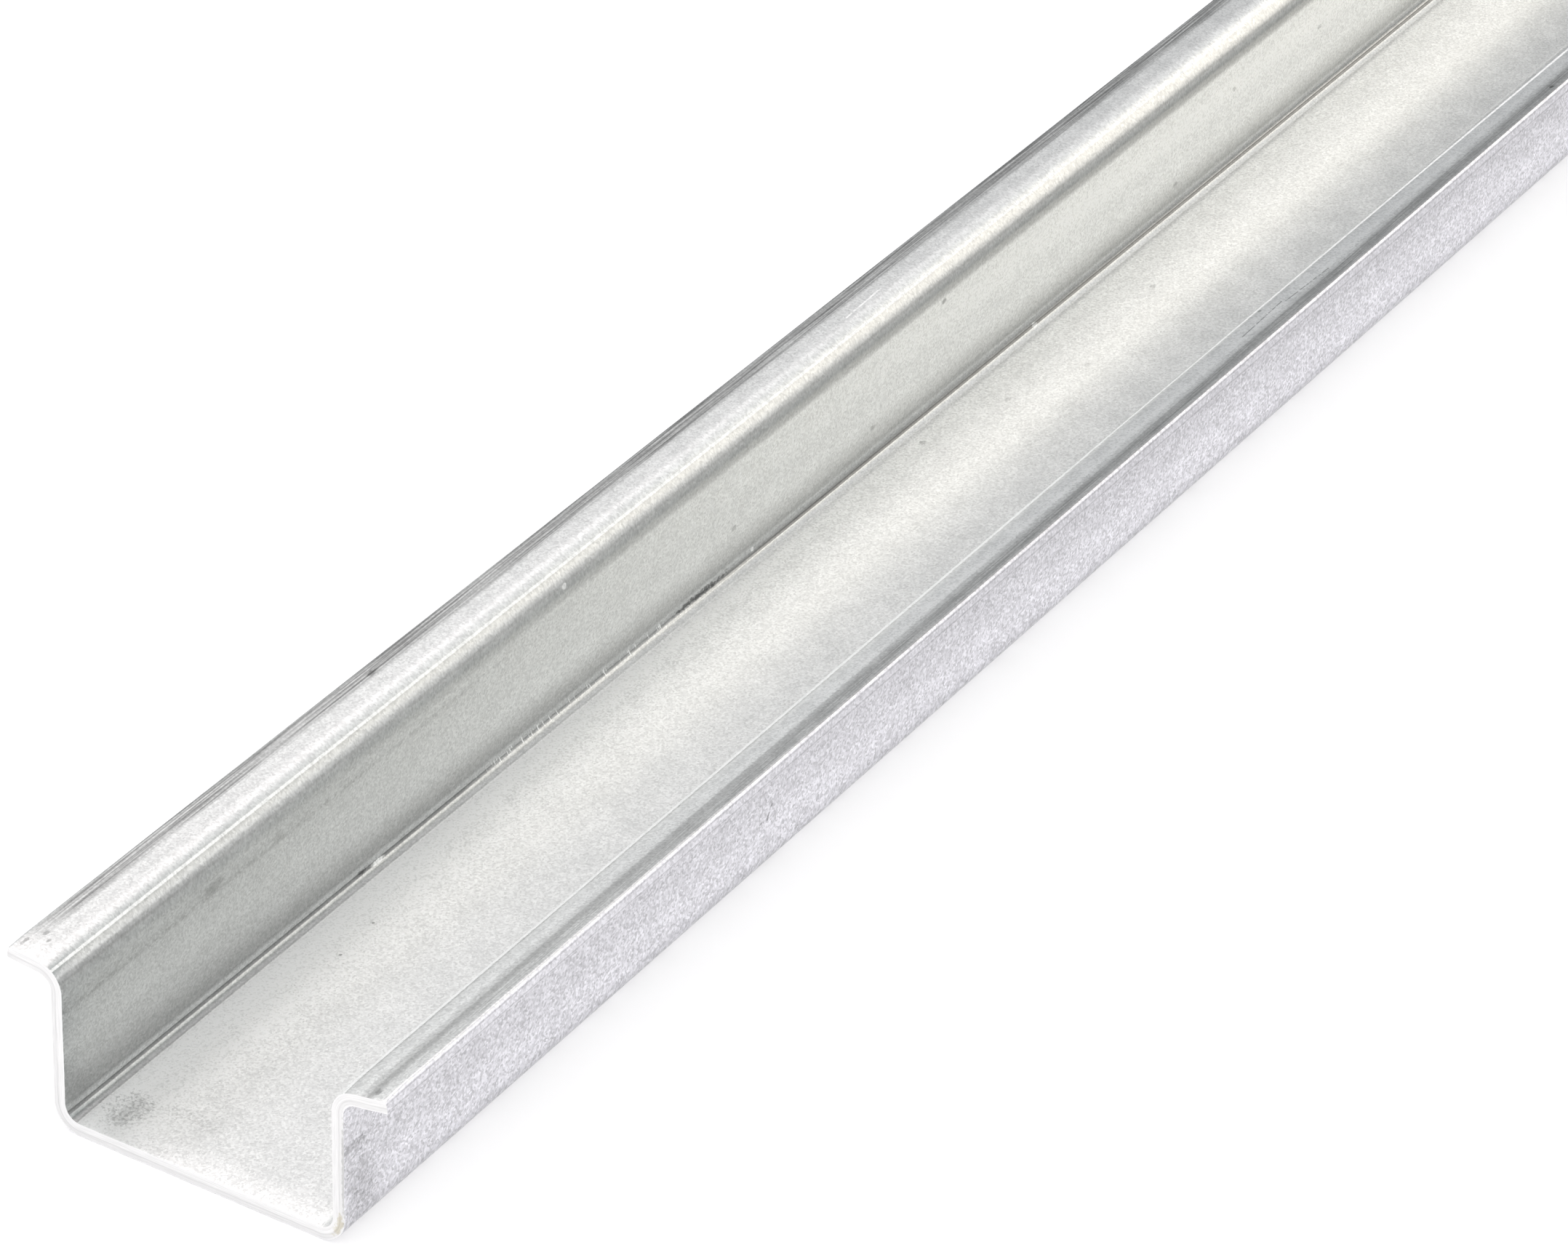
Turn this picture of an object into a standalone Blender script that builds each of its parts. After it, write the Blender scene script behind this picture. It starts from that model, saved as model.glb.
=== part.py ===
"""Top-hat mounting rail, 35 mm wide and 15 mm deep, unperforated.

The rail is one strip of galvanised sheet, roll-formed into a hat: a flat web,
two side walls and two outward flanges, with the open side up. The strip keeps
its thickness round the four bends, and the flanges stand a few degrees proud,
because they spring back a little as they leave the rolls.

Frame: X runs along the rail, Y across it and Z up out of the channel. The
origin is on the underside of the web, at the middle of its length and width.
Units are metres.
"""

import math

import bmesh
import bpy

# Driving dimensions.
RAIL_LENGTH = 0.500
HAT_WIDTH = 0.027
FLANGE_REACH = 0.004
DEPTH = 0.015
SHEET = 0.0012
WEB_BEND_RADIUS = 0.0012
FLANGE_BEND_RADIUS = 0.0012
FLANGE_LIFT = math.radians(7.0)
EDGE_BREAK = 0.00015

# Facets in a bend's arc and in a broken edge.
BEND_SEGMENTS = 10
BREAK_SEGMENTS = 2

# Only edges sharper than this are cut edges: a bend's own facets are far flatter.
CUT_EDGE_ANGLE = math.radians(60.0)
SMOOTH_ANGLE = math.radians(25.0)
MERGE_DISTANCE = 0.00001

# The two flanges bring the hat to its overall width of 35 mm.
OVERALL_WIDTH = HAT_WIDTH + 2 * FLANGE_REACH

# The strip is drawn at the middle of its thickness.
HALF_SHEET = SHEET / 2
WALL_Y = HAT_WIDTH / 2 - HALF_SHEET
WEB_Z = HALF_SHEET
TIP_Y = OVERALL_WIDTH / 2 - HALF_SHEET * math.sin(FLANGE_LIFT)
TIP_Z = DEPTH - HALF_SHEET * math.cos(FLANGE_LIFT)
FLANGE_FOLD_Z = TIP_Z - (TIP_Y - WALL_Y) * math.tan(FLANGE_LIFT)

PART_NAME = "din_rail"
GALVANISED_COLOR = (0.66, 0.67, 0.68, 1.0)
GALVANISED_ROUGHNESS = 0.42


def clear_scene():
    """Remove every object that the file opened with."""
    for item in list(bpy.data.objects):
        bpy.data.objects.remove(item, do_unlink=True)


def galvanised_steel():
    """Zinc-coated sheet: pale grey, softly metallic."""
    material = bpy.data.materials.new("galvanised_steel")
    material.use_nodes = True
    shader = material.node_tree.nodes["Principled BSDF"]
    shader.inputs["Base Color"].default_value = GALVANISED_COLOR
    shader.inputs["Metallic"].default_value = 1.0
    shader.inputs["Roughness"].default_value = GALVANISED_ROUGHNESS
    return material


def fold_setback(inside_radius, turn):
    """Distance from a fold line to where its arc starts, on the strip's middle."""
    return (inside_radius + HALF_SHEET) * math.tan(turn / 2)


def fold_edges(strip, y, z):
    """The edges that run along the rail at one fold line."""
    return [
        edge for edge in strip.edges
        if all(math.hypot(v.co.y - y, v.co.z - z) < MERGE_DISTANCE for v in edge.verts)
    ]


def round_fold(strip, y, z, inside_radius, turn):
    """Turn a sharp fold line into a bend of the given inside radius."""
    bmesh.ops.bevel(
        strip,
        geom=fold_edges(strip, y, z),
        offset=fold_setback(inside_radius, turn),
        offset_type="OFFSET",
        segments=BEND_SEGMENTS,
        profile=0.5,
        affect="EDGES",
        material=-1,
    )


def half_strip():
    """The +Y half of the strip: web, wall and flange, open at the centre plane."""
    strip = bmesh.new()
    start_x = -RAIL_LENGTH / 2
    section = [(0.0, WEB_Z), (WALL_Y, WEB_Z), (WALL_Y, FLANGE_FOLD_Z), (TIP_Y, TIP_Z)]
    corners = [strip.verts.new((start_x, y, z)) for y, z in section]
    path = [strip.edges.new(pair) for pair in zip(corners, corners[1:])]

    sweep = bmesh.ops.extrude_edge_only(strip, edges=path)
    far_end = [item for item in sweep["geom"] if isinstance(item, bmesh.types.BMVert)]
    bmesh.ops.translate(strip, verts=far_end, vec=(RAIL_LENGTH, 0.0, 0.0))

    round_fold(strip, WALL_Y, WEB_Z, WEB_BEND_RADIUS, math.pi / 2)
    round_fold(strip, WALL_Y, FLANGE_FOLD_Z, FLANGE_BEND_RADIUS, math.pi / 2 - FLANGE_LIFT)
    bmesh.ops.recalc_face_normals(strip, faces=strip.faces)

    mesh = bpy.data.meshes.new("rail")
    strip.to_mesh(mesh)
    strip.free()
    return mesh


def build_rail(collection):
    """The whole rail: the half strip mirrored, given its thickness and edge breaks."""
    mesh = half_strip()
    mesh.materials.append(galvanised_steel())
    rail = bpy.data.objects.new("rail", mesh)
    collection.objects.link(rail)

    mirror = rail.modifiers.new("other_half", "MIRROR")
    mirror.use_axis = (False, True, False)
    mirror.use_clip = True
    mirror.merge_threshold = MERGE_DISTANCE

    sheet = rail.modifiers.new("sheet_thickness", "SOLIDIFY")
    sheet.thickness = SHEET
    sheet.offset = 0.0
    sheet.use_even_offset = True
    sheet.use_quality_normals = True

    edges = rail.modifiers.new("cut_edges", "BEVEL")
    edges.width = EDGE_BREAK
    edges.segments = BREAK_SEGMENTS
    edges.limit_method = "ANGLE"
    edges.angle_limit = CUT_EDGE_ANGLE

    mesh.shade_smooth()
    mesh.set_sharp_from_angle(angle=SMOOTH_ANGLE)
    return rail


def main():
    """Build the rail in a collection of its own."""
    clear_scene()
    collection = bpy.data.collections.new(PART_NAME)
    bpy.context.scene.collection.children.link(collection)
    build_rail(collection)


main()
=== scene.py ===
"""Looks of a top-hat mounting rail: one strip of galvanised sheet with its rolled and cut finish.

The strip is drawn again with finer bends, its slit edges and its cut ends, and every finish is
laid out on the strip as it was before it was folded: how far along it from the near cut end, how
far across it from the middle of the web, and how deep in the sheet, all in millimetres. Painted
highlights and painted shade, which stand in for light falling on the bends and walls, are laid
out on the strip the same way as the real marks.
"""

import logging
import math
from dataclasses import dataclass, replace
from enum import Enum
from typing import Any, Optional, Sequence

import bmesh
import bpy
from mathutils import Matrix, Vector, noise


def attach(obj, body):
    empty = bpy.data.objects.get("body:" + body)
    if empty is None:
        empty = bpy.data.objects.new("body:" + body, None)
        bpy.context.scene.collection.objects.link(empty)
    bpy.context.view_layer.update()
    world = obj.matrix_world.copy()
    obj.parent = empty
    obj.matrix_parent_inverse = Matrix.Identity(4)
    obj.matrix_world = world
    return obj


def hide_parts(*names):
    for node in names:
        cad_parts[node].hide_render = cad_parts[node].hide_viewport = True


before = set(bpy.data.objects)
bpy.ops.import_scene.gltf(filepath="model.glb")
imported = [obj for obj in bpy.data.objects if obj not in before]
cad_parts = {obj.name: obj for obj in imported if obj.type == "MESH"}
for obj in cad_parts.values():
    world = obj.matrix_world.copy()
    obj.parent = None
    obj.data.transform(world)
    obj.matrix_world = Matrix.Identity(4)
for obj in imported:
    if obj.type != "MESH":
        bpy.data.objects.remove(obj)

LOG = logging.getLogger("din_rail")

MM = 0.001
STRIP_ATTRIBUTE = "strip_mm"

Socket = Any
Colour = tuple[float, float, float]
Range = tuple[float, float]

# Where most values of a noise texture and of the zinc crystals lie.
NOISE_RANGE: Range = (0.3, 0.7)
CRYSTAL_RANGE: Range = (0.2, 0.8)


class Side(Enum):
    """The two halves of the hat section, by the sign of Y."""

    LEFT = 1
    RIGHT = -1


class Surface(Enum):
    """The faces of the sheet, by their material slot on the rail."""

    INSIDE = 0
    OUTSIDE = 1
    SLIT_EDGE = 2
    CUT_END = 3


@dataclass(frozen=True)
class HatHalf:
    """Middle line of one half of the hat section, from the middle of the web to the flange's tip.

    Lengths are in metres. Distances across the strip are measured along its middle line.
    """

    side: Side
    lift: float
    hat_width: float = 0.027
    reach: float = 0.004
    depth: float = 0.015
    sheet: float = 0.0012
    inside_radius: float = 0.0012

    @property
    def half_sheet(self) -> float:
        """Half the sheet's thickness."""
        return self.sheet / 2

    @property
    def half_width(self) -> float:
        """Distance of the flange's outermost edge from the middle plane."""
        return self.hat_width / 2 + self.reach

    @property
    def radius(self) -> float:
        """Radius of the bends on the middle line."""
        return self.inside_radius + self.half_sheet

    @property
    def wall_y(self) -> float:
        """Distance of the wall from the middle plane."""
        return self.hat_width / 2 - self.half_sheet

    @property
    def tip(self) -> tuple[float, float]:
        """The flange's tip, as (y, z) on the left half."""
        tip_y = self.half_width - self.half_sheet * math.sin(self.lift)
        return tip_y, self.depth - self.half_sheet * math.cos(self.lift)

    @property
    def fold_z(self) -> float:
        """Height of the sharp fold line between the wall and the flange."""
        tip_y, tip_z = self.tip
        return tip_z - (tip_y - self.wall_y) * math.tan(self.lift)

    @property
    def flange_turn(self) -> float:
        """Angle that the strip turns through from the wall to the flange."""
        return math.pi / 2 - self.lift

    @property
    def web_setback(self) -> float:
        """Distance from the web's fold line to where its bend starts."""
        return self.radius * math.tan(math.pi / 4)

    @property
    def flange_setback(self) -> float:
        """Distance from the flange's fold line to where its bend starts."""
        return self.radius * math.tan(self.flange_turn / 2)

    @property
    def joints(self) -> tuple[float, float, float, float, float]:
        """Distances across to the end of the web, its bend, the wall, the flange's bend and the tip."""
        web = self.wall_y - self.radius
        web_bend = web + self.radius * math.pi / 2
        wall = web_bend + (self.fold_z - self.flange_setback) - (self.half_sheet + self.radius)
        flange_bend = wall + self.radius * self.flange_turn
        flange = (self.tip[0] - self.wall_y) / math.cos(self.lift) - self.flange_setback
        return web, web_bend, wall, flange_bend, flange_bend + flange

    def corners(self) -> list[tuple[float, float]]:
        """The half section's sharp corners from the web outwards, as (y, z) on its own side."""
        points = [(self.wall_y, self.half_sheet), (self.wall_y, self.fold_z), self.tip]
        return [(self.side.value * y, z) for y, z in points]

    def locate(self, y: float, z: float) -> tuple[float, float]:
        """Where a point of the sheet lay on the flat strip.

        Args:
            y: distance from the middle plane, towards this half.
            z: height above the web's underside.

        Returns:
            Distance across the strip, and height above its middle, towards the channel's side.
        """
        web, web_bend, wall, flange_bend, _ = self.joints
        low_centre = (self.wall_y - self.radius, self.half_sheet + self.radius)
        high_centre = (self.wall_y + self.radius, self.fold_z - self.flange_setback)
        clear_of_wall = self.wall_y + 1.5 * self.half_sheet
        if y <= low_centre[0]:
            return y, z - self.half_sheet
        if z < low_centre[1]:
            across, up = y - low_centre[0], low_centre[1] - z
            turn = math.atan2(across, up)
            return web + self.radius * turn, self.radius - math.hypot(across, up)
        if z <= high_centre[1] and y < clear_of_wall:
            return web_bend + z - low_centre[1], self.wall_y - y
        across, up = high_centre[0] - y, z - high_centre[1]
        turn = math.atan2(up, across)
        if turn <= self.flange_turn:
            return wall + self.radius * turn, math.hypot(across, up) - self.radius
        tangent = Vector((math.cos(self.lift), math.sin(self.lift)))
        normal = Vector((-tangent.y, tangent.x))
        offset = Vector((y, z)) - (Vector(high_centre) + normal * self.radius)
        return flange_bend + offset.dot(tangent), offset.dot(normal)

    def channel_normal(self, across: float) -> tuple[float, float]:
        """Unit direction (y, z) in which the channel's side of the sheet faces.

        Args:
            across: distance across the strip from the middle of the web, towards this half.

        Returns:
            The direction, on the left half.
        """
        web, web_bend, wall, flange_bend, _ = self.joints
        if across < web_bend:
            turn = max(across - web, 0.0) / self.radius
        else:
            turn = math.pi / 2 - min(max(across - wall, 0.0), flange_bend - wall) / self.radius
        return -math.sin(turn), math.cos(turn)


def add_object(name: str, data: bpy.types.ID) -> bpy.types.Object:
    """Put a new object into the scene.

    Args:
        name: the object's name.
        data: its mesh, light or camera.

    Returns:
        The object.
    """
    made = bpy.data.objects.new(name, data)
    bpy.context.scene.collection.objects.link(made)
    return made


def new_material(name: str) -> tuple[bpy.types.Material, Any]:
    """Make a material with its standard shader.

    Args:
        name: the material's name.

    Returns:
        The material, and the inputs of its Principled shader.
    """
    made = bpy.data.materials.new(name)
    made.use_nodes = True
    return made, made.node_tree.nodes["Principled BSDF"].inputs


def flat_mesh(name: str, width: float, height: float, place: Matrix) -> bpy.types.Mesh:
    """Make a mesh of one flat face.

    Args:
        name: the mesh's name.
        width: its size along X before it is placed.
        height: its size along Y before it is placed.
        place: the matrix that moves it to its place.

    Returns:
        The mesh.
    """
    plane = bmesh.new()
    bmesh.ops.create_grid(plane, x_segments=1, y_segments=1, size=0.5)
    bmesh.ops.scale(plane, verts=plane.verts, vec=(width, height, 1.0))
    bmesh.ops.transform(plane, verts=plane.verts, matrix=place)
    mesh = bpy.data.meshes.new(name)
    plane.to_mesh(mesh)
    plane.free()
    return mesh


class NodeDesk:
    """Places shader nodes in one tree and joins them."""

    measures = ("DOT_PRODUCT", "LENGTH", "DISTANCE")

    def __init__(self, tree: bpy.types.NodeTree) -> None:
        """Take the tree to work in."""
        self.tree = tree

    def add(self, kind: str, inputs: Optional[dict[Any, Any]] = None, **settings: Any) -> bpy.types.Node:
        """Place a node.

        Args:
            kind: the node's class, without its ShaderNode prefix.
            inputs: a socket to join, or a value to set, for each input's name or number.
            **settings: the node's own properties.

        Returns:
            The node.
        """
        node = self.tree.nodes.new("ShaderNode" + kind)
        for name, value in settings.items():
            setattr(node, name, value)
        for name, value in (inputs or {}).items():
            self.feed(node.inputs[name], value)
        return node

    def feed(self, target: Socket, value: Any) -> None:
        """Fill an input.

        Args:
            target: the input.
            value: a socket to join to it, or its own value.
        """
        if isinstance(value, bpy.types.NodeSocket):
            self.tree.links.new(value, target)
        else:
            target.default_value = value

    def math(self, operation: str, *values: Any, clamp: bool = False) -> Socket:
        """A Math node's result for the given values or sockets."""
        return self.add("Math", dict(enumerate(values)), operation=operation, use_clamp=clamp).outputs[0]

    def product(self, first: Any, *others: Any) -> Socket:
        """Multiply values or sockets.

        Args:
            first: the first of them.
            *others: at least one more.

        Returns:
            Their product.
        """
        for other in others:
            first = self.math("MULTIPLY", first, other)
        return first

    def vector(self, operation: str, first: Any, second: Any = None, scale: Any = None) -> Socket:
        """Place a Vector Math node.

        Args:
            operation: what it does.
            first: its first vector or socket.
            second: its second one, if it has two.
            scale: its scale, if it has one.

        Returns:
            The vector or the number that it works out.
        """
        given = {0: first, 1: second, "Scale": scale}
        inputs = {name: value for name, value in given.items() if value is not None}
        node = self.add("VectorMath", inputs, operation=operation)
        return node.outputs["Value" if operation in self.measures else "Vector"]

    def parts(self, vector: Socket) -> tuple[Socket, Socket, Socket]:
        """The three numbers of a vector."""
        node = self.add("SeparateXYZ", {0: vector})
        return node.outputs[0], node.outputs[1], node.outputs[2]

    def joined(self, *values: Any) -> Socket:
        """A vector of three numbers."""
        return self.add("CombineXYZ", dict(enumerate(values))).outputs[0]

    def step(self, value: Socket, low: Any, high: Any, start: Any = 0.0, end: Any = 1.0) -> Socket:
        """A smooth change from start to end as the value goes from low to high."""
        inputs = {0: value, 1: low, 2: high, 3: start, 4: end}
        return self.add("MapRange", inputs, interpolation_type="SMOOTHSTEP").outputs[0]

    def ramp(self, value: Socket, low: Any, high: Any, start: Any = 0.0, end: Any = 1.0) -> Socket:
        """A straight change from start to end as the value goes from low to high."""
        return self.add("MapRange", {0: value, 1: low, 2: high, 3: start, 4: end}).outputs[0]

    def spread(self, cloud: Socket, start: Any, end: Any) -> Socket:
        """A change from start to end over the values that a noise mostly has."""
        return self.ramp(cloud, *NOISE_RANGE, start, end)

    def kept(self, mask: Socket, tone: Any) -> Socket:
        """The share that is kept: all of it off a mask, and the tone on it."""
        return self.ramp(mask, 0.0, 1.0, 1.0, tone)

    def cloud(self, place: Socket, scale: float = 1.0, detail: float = 3.0) -> Socket:
        """A noise texture's value."""
        return self.add("TexNoise", {"Vector": place, "Scale": scale, "Detail": detail}).outputs[0]

    def blend(self, share: Any, first: Colour, second: Colour) -> Socket:
        """A mix of two colours."""
        return self.add("Mix", {0: share, 6: (*first, 1.0), 7: (*second, 1.0)}, data_type="RGBA").outputs[2]

    def lit(self, colour: Any, light: Socket) -> Socket:
        """A colour, as three numbers or a socket, with its lightness multiplied."""
        return self.vector("SCALE", colour, scale=light)


class EffectGroup:
    """A shader node group that more than one finish uses."""

    name = "effect"
    inputs: dict[str, float] = {}
    outputs: tuple[str, ...] = ("Mask",)

    def tree(self) -> bpy.types.NodeTree:
        """Build the group's tree the first time it is asked for.

        Returns:
            The tree.
        """
        made = bpy.data.node_groups.get(self.name)
        if made is not None:
            return made
        made = bpy.data.node_groups.new(self.name, "ShaderNodeTree")
        made.interface.new_socket(name="Strip", in_out="INPUT", socket_type="NodeSocketVector")
        for name, value in self.inputs.items():
            socket = made.interface.new_socket(name=name, in_out="INPUT", socket_type="NodeSocketFloat")
            socket.default_value = value
        for name in self.outputs:
            made.interface.new_socket(name=name, in_out="OUTPUT", socket_type="NodeSocketFloat")
        entry = made.nodes.new("NodeGroupInput")
        exit_node = made.nodes.new("NodeGroupOutput")
        desk = NodeDesk(made)
        for name, socket in self.build(desk, entry.outputs).items():
            desk.feed(exit_node.inputs[name], socket)
        return made

    def build(self, desk: NodeDesk, given: Any) -> dict[str, Socket]:
        """Place the group's inner nodes.

        Args:
            desk: the group's node desk.
            given: the sockets of the group's inputs, by name.

        Returns:
            Each output's name with the socket that feeds it.
        """
        raise NotImplementedError

    def place(self, desk: NodeDesk, strip: Socket, **values: Any) -> Any:
        """Put the group in a material.

        Args:
            desk: the material's node desk.
            strip: the place on the strip, in millimetres.
            **values: the group's other inputs, with underscores for spaces.

        Returns:
            The placed group's outputs.
        """
        node = desk.add("Group")
        node.node_tree = self.tree()
        desk.feed(node.inputs["Strip"], strip)
        for name, value in values.items():
            desk.feed(node.inputs[name.replace("_", " ").title()], value)
        return node.outputs

    def mask(self, desk: NodeDesk, strip: Socket, **values: Any) -> Socket:
        """Put the group in a material and take its mask."""
        return self.place(desk, strip, **values)["Mask"]


class ZincGrain(EffectGroup):
    """Fine crystals of the zinc coating, each with a lightness of its own, and soft mottling."""

    name = "zinc_grain"
    inputs = {"Size": 0.25, "Mottle Size": 1.5}
    outputs = ("Crystals", "Mottle")
    cell_share = 0.45
    soft_scale = 0.6
    soft_detail = 2.0

    def build(self, desk: NodeDesk, given: Any) -> dict[str, Socket]:
        """Voronoi cells and noise for the crystals, and coarser noise for the mottling.

        Args:
            desk: the group's node desk.
            given: the sockets of the group's inputs, by name.

        Returns:
            The crystals and the mottling.
        """
        fine, coarse = (
            desk.vector("SCALE", given["Strip"], scale=desk.math("DIVIDE", 1.0, given[size]))
            for size in self.inputs
        )
        cells = desk.add("TexVoronoi", {"Vector": fine, "Scale": 1.0}, feature="F1").outputs["Color"]
        cell_tone = desk.product(desk.add("SeparateColor", {0: cells}).outputs[0], self.cell_share)
        soft = desk.product(desk.cloud(fine, self.soft_scale, self.soft_detail), 1.0 - self.cell_share)
        return {"Crystals": desk.math("ADD", cell_tone, soft), "Mottle": desk.cloud(coarse)}


class DrawnStreaks(EffectGroup):
    """Long scuffs that the rolls and the guides draw along the strip."""

    name = "drawn_streaks"
    inputs = {"Length": 12.0, "Width": 0.18, "Seed": 0.0}

    def build(self, desk: NodeDesk, given: Any) -> dict[str, Socket]:
        """Noise stretched along the strip.

        Args:
            desk: the group's node desk.
            given: the sockets of the group's inputs, by name.

        Returns:
            The streaks, as a mask.
        """
        along, across, _ = desk.parts(given["Strip"])
        along = desk.math("DIVIDE", along, given["Length"])
        across = desk.math("DIVIDE", across, given["Width"])
        return {"Mask": desk.cloud(desk.joined(along, across, given["Seed"]))}


class AcrossBand(EffectGroup):
    """A soft-edged band that runs the length of the strip between two distances across it."""

    name = "across_band"
    inputs = {"Low": 0.0, "High": 1.0, "Low Soft": 0.2, "High Soft": 0.2}

    def build(self, desk: NodeDesk, given: Any) -> dict[str, Socket]:
        """A smooth rise at the low edge and a smooth fall at the high one.

        Args:
            desk: the group's node desk.
            given: the sockets of the group's inputs, by name.

        Returns:
            The band, as a mask.
        """
        _, across, _ = desk.parts(given["Strip"])
        edges = []
        for side, start, end in (("Low", 0.0, 1.0), ("High", 1.0, 0.0)):
            at, soft = given[side], given[side + " Soft"]
            reach = desk.math("SUBTRACT", at, soft), desk.math("ADD", at, soft)
            edges.append(desk.step(across, *reach, start, end))
        return {"Mask": desk.product(*edges)}


class DriftingLine(EffectGroup):
    """A thin line along the strip that wanders a little across it: some are lines that rolls pressed, others
    are painted highlights and painted shade that drift across the bends.
    """

    name = "drifting_line"
    inputs = {"Across": 0.0, "Drift": 0.0, "Half Width": 0.1, "Soft": 0.06}
    drift_length = 100.0

    def build(self, desk: NodeDesk, given: Any) -> dict[str, Socket]:
        """Nearness to a straight line; the drift is in millimetres per 100 mm of strip.

        Args:
            desk: the group's node desk.
            given: the sockets of the group's inputs, by name.

        Returns:
            The line, as a mask.
        """
        along, across, _ = desk.parts(given["Strip"])
        run = desk.math("DIVIDE", along, self.drift_length)
        line = desk.math("MULTIPLY_ADD", run, given["Drift"], given["Across"])
        off = desk.math("ABSOLUTE", desk.math("SUBTRACT", across, line))
        outer = desk.math("ADD", given["Half Width"], given["Soft"])
        return {"Mask": desk.step(off, given["Half Width"], outer, 1.0, 0.0)}


class RaggedSpot(EffectGroup):
    """A soft spot, smudge or stain with a ragged outline."""

    name = "ragged_spot"
    inputs = {
        "Rough": 0.5, "Along": 0.0, "Across": 0.0, "Along Reach": 1.0, "Across Reach": 1.0, "Ragged": 1.2,
    }
    rough_middle = 0.5
    solid_share = 0.45

    def build(self, desk: NodeDesk, given: Any) -> dict[str, Socket]:
        """Nearness to a point, with the rough noise added before the edge is drawn.

        Args:
            desk: the group's node desk.
            given: the sockets of the group's inputs, by name.

        Returns:
            The spot, as a mask.
        """
        along, across, _ = desk.parts(given["Strip"])
        away = [
            desk.math("DIVIDE", desk.math("SUBTRACT", place, given[name]), given[name + " Reach"])
            for place, name in ((along, "Along"), (across, "Across"))
        ]
        far = desk.vector("LENGTH", desk.joined(*away, 0.0))
        rough = desk.math("SUBTRACT", given["Rough"], self.rough_middle)
        shifted = desk.math("MULTIPLY_ADD", rough, given["Ragged"], far)
        return {"Mask": desk.step(shifted, self.solid_share, 1.0, 1.0, 0.0)}


class Scratch(EffectGroup):
    """A straight scratch between two places on the strip."""

    name = "scratch"
    inputs = {"From Along": 0.0, "From Across": 0.0, "To Along": 1.0, "To Across": 0.0, "Half Width": 0.06}
    core_share = 0.4

    def build(self, desk: NodeDesk, given: Any) -> dict[str, Socket]:
        """Nearness to the stretch of line between the two places.

        Args:
            desk: the group's node desk.
            given: the sockets of the group's inputs, by name.

        Returns:
            The scratch, as a mask.
        """
        along, across, _ = desk.parts(given["Strip"])
        start = desk.joined(given["From Along"], given["From Across"], 0.0)
        end = desk.joined(given["To Along"], given["To Across"], 0.0)
        point = desk.vector("SUBTRACT", desk.joined(along, across, 0.0), start)
        run = desk.vector("SUBTRACT", end, start)
        beside, whole = desk.vector("DOT_PRODUCT", point, run), desk.vector("DOT_PRODUCT", run, run)
        nearest = desk.vector("SCALE", run, scale=desk.math("DIVIDE", beside, whole, clamp=True))
        off = desk.vector("DISTANCE", point, nearest)
        core = desk.product(given["Half Width"], self.core_share)
        return {"Mask": desk.step(off, core, given["Half Width"], 1.0, 0.0)}


GRAIN = ZincGrain()
STREAKS = DrawnStreaks()
BAND = AcrossBand()
LINE = DriftingLine()
SPOT = RaggedSpot()
SCRATCH = Scratch()


@dataclass(frozen=True)
class StripPlace:
    """What a mark reads: the place on the strip, its parts, and noises that the marks share."""

    strip: Socket
    along: Socket
    across: Socket
    through: Socket
    from_cut: Socket
    rough: Socket
    specks: Socket

    @classmethod
    def read(
        cls, desk: NodeDesk, length: float = 500.0, rough_scale: float = 2.6, speck_scale: float = 3.6
    ) -> "StripPlace":
        """Place the nodes that read the strip.

        Args:
            desk: the material's node desk.
            length: the strip's length in millimetres.
            rough_scale: how fine the noise is that makes outlines ragged.
            speck_scale: how fine the noise is that makes specks.

        Returns:
            The sockets that every mark of the material shares.
        """
        strip = desk.add("Attribute", attribute_name=STRIP_ATTRIBUTE).outputs["Vector"]
        along, across, through = desk.parts(strip)
        from_cut = desk.math("MINIMUM", along, desk.math("SUBTRACT", length, along))
        rough, specks = desk.cloud(strip, rough_scale), desk.cloud(strip, speck_scale)
        return cls(strip, along, across, through, from_cut, rough, specks)


@dataclass(frozen=True, kw_only=True)
class Mark:
    """A mark that changes how much light the sheet keeps, and may change its roughness; marks are stains and
    scratches on the sheet, and also painted highlights and painted shade.

    A tone is the share of light that is kept: below 1 is darker than the sheet, above 1 lighter. A tone that
    changes along the strip mostly paints light and shade that differ between the near and the far stretch.
    """

    tone: float = 0.5
    far_tone: Optional[float] = None
    changes_from: float = 0.0
    settles: float = 150.0
    roughness: Optional[float] = None

    def mask(self, desk: NodeDesk, place: StripPlace) -> Socket:
        """1 on the mark and 0 away from it."""
        raise NotImplementedError

    def level(self, desk: NodeDesk, place: StripPlace) -> Any:
        """Find the mark's tone, which may change along the strip until it settles.

        Args:
            desk: the material's node desk.
            place: the place on the strip.

        Returns:
            The tone, or the socket that gives it.
        """
        if self.far_tone is None:
            return self.tone
        return desk.step(place.along, self.changes_from, self.settles, self.tone, self.far_tone)


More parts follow.
